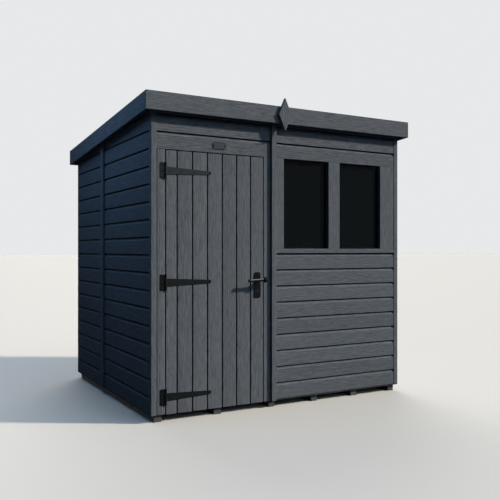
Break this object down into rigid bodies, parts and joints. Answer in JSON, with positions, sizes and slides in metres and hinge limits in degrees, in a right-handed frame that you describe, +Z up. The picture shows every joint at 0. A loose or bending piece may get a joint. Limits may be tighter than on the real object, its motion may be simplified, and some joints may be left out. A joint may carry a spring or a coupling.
{
  "type": "pent shed",
  "caption": "Timber pent shed in dark grey shiplap with a boarded door on tee hinges, fixed windows, deep fascia boards and a diamond finial; people walk in to store garden tools.",
  "frame": {"origin": "on the ground, at the middle of the whole outline's rectangle in plan", "axes": "+Z up, the door and windows face -Y, +X to the right of someone who faces the door"},
  "size_m": [2.248, 1.965, 2.24],
  "materials": {
    "wall_boards": "anthracite woodstain on sawn-fine shiplap, satin",
    "trim_timber": "anthracite woodstain on planed softwood, satin",
    "door_timber": "anthracite woodstain on planed matchboard, satin",
    "framing_timber": "anthracite woodstain on sawn softwood, matt",
    "roof_timber": "bare sawn softwood",
    "floor_boards": "bare planed softwood boards",
    "bearer_timber": "dark pressure-treated sawn softwood",
    "mineral_felt": "charcoal mineral-faced bitumen felt",
    "window_glass": "clear float glass, dark from the unlit room",
    "black_iron": "black japanned steel",
    "black_lock_metal": "satin black enamel on metal, worn bright on the lever's top"
  },
  "bodies": {
    "shed": {"back_corner_trims": "trim_timber", "back_fascia": "trim_timber", "back_wall_cover_strip": "trim_timber", "back_wall_left_panel": "wall_boards", "back_wall_right_panel": "wall_boards", "bearers": "bearer_timber", "bottom_rails": "framing_timber", "door_jamb_left": "trim_timber", "door_jamb_right": "trim_timber", "finial": "trim_timber", "floor_deck": "floor_boards", "front_fascia": "trim_timber", "front_left_corner_trim": "trim_timber", "front_right_corner_trim": "trim_timber", "header_over_door": "wall_boards", "header_over_windows": "wall_boards", "hinge_pins": "black_iron", "hinge_plates": "black_iron", "left_fascia": "trim_timber", "left_wall_back_panel": "wall_boards", "left_wall_cover_strip": "trim_timber", "left_wall_front_panel": "wall_boards", "opening_rails": "framing_timber", "right_fascia": "trim_timber", "right_wall_back_panel": "wall_boards", "right_wall_cover_strip": "trim_timber", "right_wall_front_panel": "wall_boards", "roof_boards": "roof_timber", "roof_felt": "mineral_felt", "roof_purlins": "roof_timber", "section_cover_strip": "trim_timber", "top_rails": "framing_timber", "wall_studs": "framing_timber", "wall_under_windows": "wall_boards", "window_left_stile": "trim_timber", "window_mullion": "trim_timber", "window_panes": "window_glass", "window_right_stile": "trim_timber", "window_sill": "trim_timber"},
    "door": {"door_leaf": "door_timber", "door_ledges": "door_timber", "door_braces": "door_timber", "hinge_straps": "black_iron", "lock_plate": "black_lock_metal"},
    "lever": {"lever_handle": "black_lock_metal"}
  },
  "joints": [
    {"name": "door_hinge", "type": "hinge", "parent": "shed", "child": "door", "pos_m": [-0.961, -0.902, 0.9], "axis": [0, 0, -1], "range_deg": [0, 165]},
    {"name": "lever_turn", "type": "hinge", "parent": "door", "child": "lever", "pos_m": [-0.245, -0.8955, 0.931], "axis": [0, -1, 0], "range_deg": [0, 40], "stiffness_Nm_per_rad": 0.6, "springref_deg": -28.65}
  ]
}
